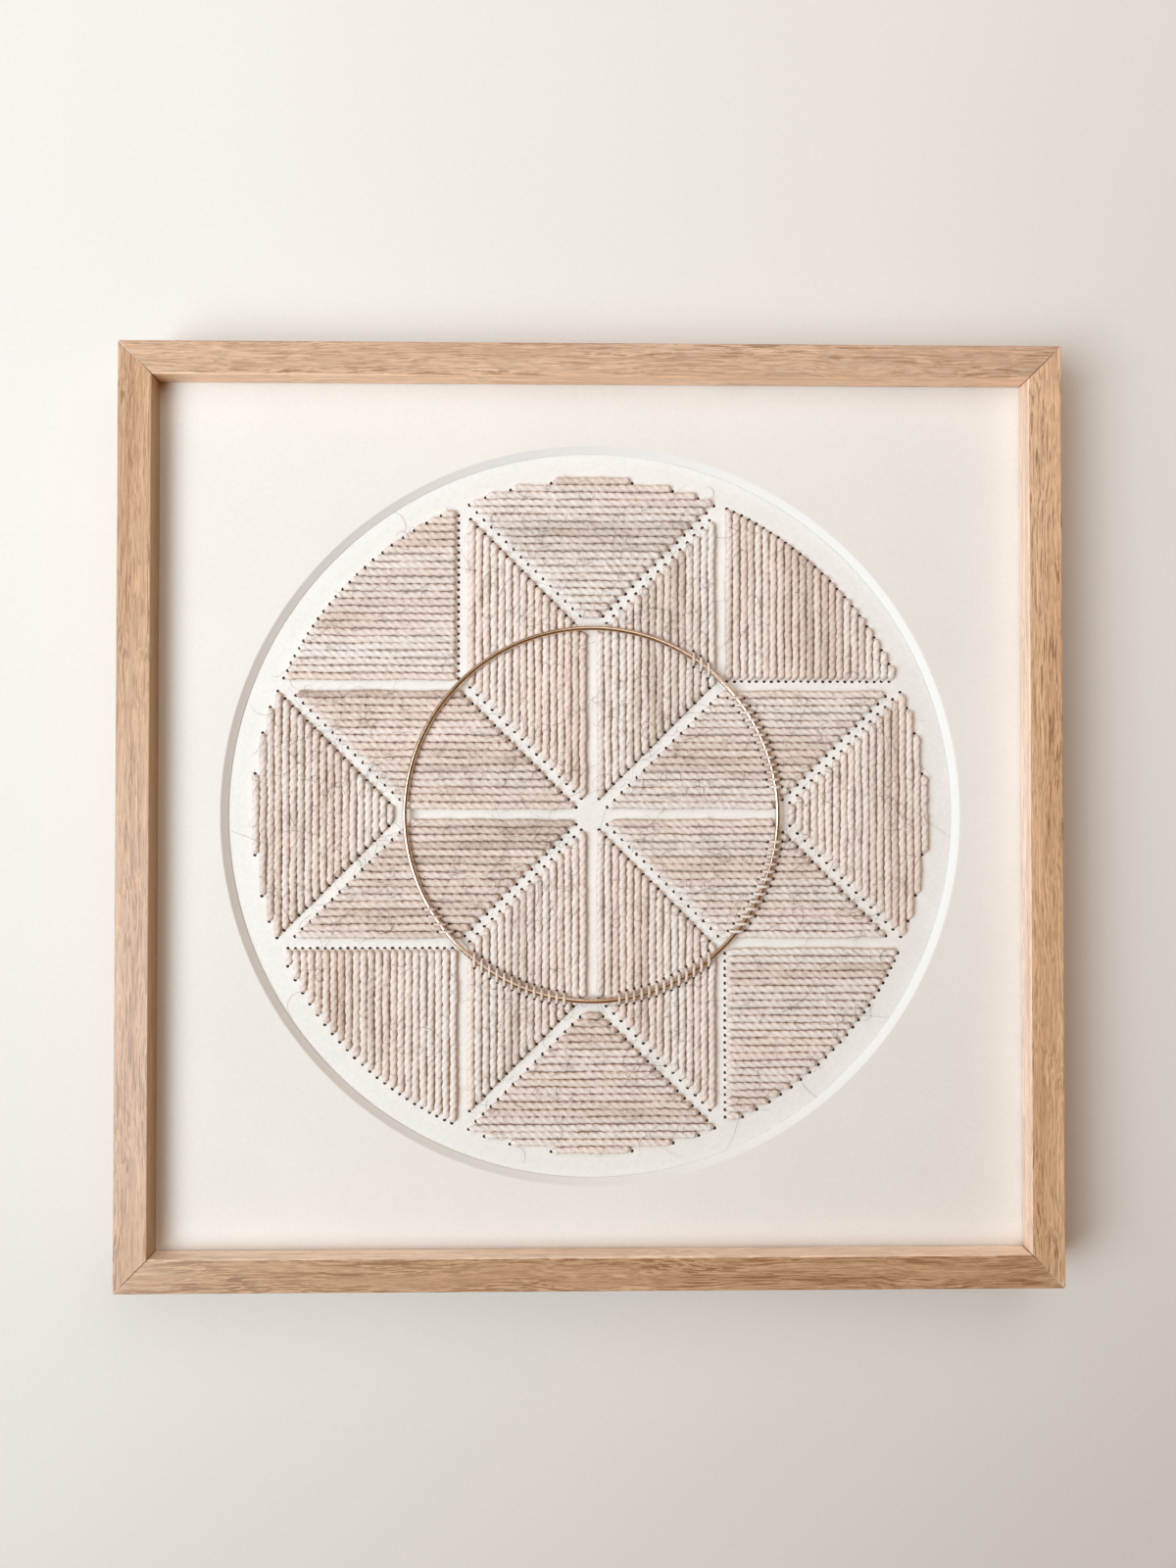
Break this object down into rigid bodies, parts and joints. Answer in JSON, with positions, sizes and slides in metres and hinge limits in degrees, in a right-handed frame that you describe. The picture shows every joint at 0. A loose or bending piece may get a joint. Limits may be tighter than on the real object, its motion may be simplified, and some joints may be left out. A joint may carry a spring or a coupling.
{
  "type": "framed paper embroidery",
  "caption": "Square oak box frame, lying on its back, with paper behind a round-windowed mat, stitched with rows of wool in a star, and a brass ring laid on the stitches.",
  "frame": {"origin": "on the surface that the frame's back rests on, under the middle of the square frame", "axes": "+Z out of the picture's face, +Y towards the picture's upper edge, +X towards its right edge"},
  "size_m": [0.42, 0.42, 0.035],
  "materials": {
    "oak": "waxed, open grain",
    "mat_board": "matt, with a white core at the bevel",
    "paper": "matt, cold-pressed texture",
    "backing": "plain hardboard",
    "wool": "two-ply heathered wool yarn, slightly hairy",
    "brass": "polished"
  },
  "bodies": {
    "root": {"rail_front": "oak", "rail_right": "oak", "rail_back": "oak", "rail_left": "oak", "window_mat": "mat_board", "paper_sheet": "paper", "backing_board": "backing", "stitched_star_low_1": "wool", "stitched_star_low_2": "wool", "stitched_star_low_3": "wool", "stitched_star_low_4": "wool", "stitched_star_high_1": "wool", "stitched_star_high_2": "wool", "stitched_star_high_3": "wool", "stitched_star_high_4": "wool", "stitched_edge_1": "wool", "stitched_edge_2": "wool", "stitched_edge_3": "wool", "stitched_edge_4": "wool", "stitched_corner_1": "wool", "stitched_corner_2": "wool", "stitched_corner_3": "wool", "stitched_corner_4": "wool", "brass_ring": "brass"}
  },
  "joints": []
}
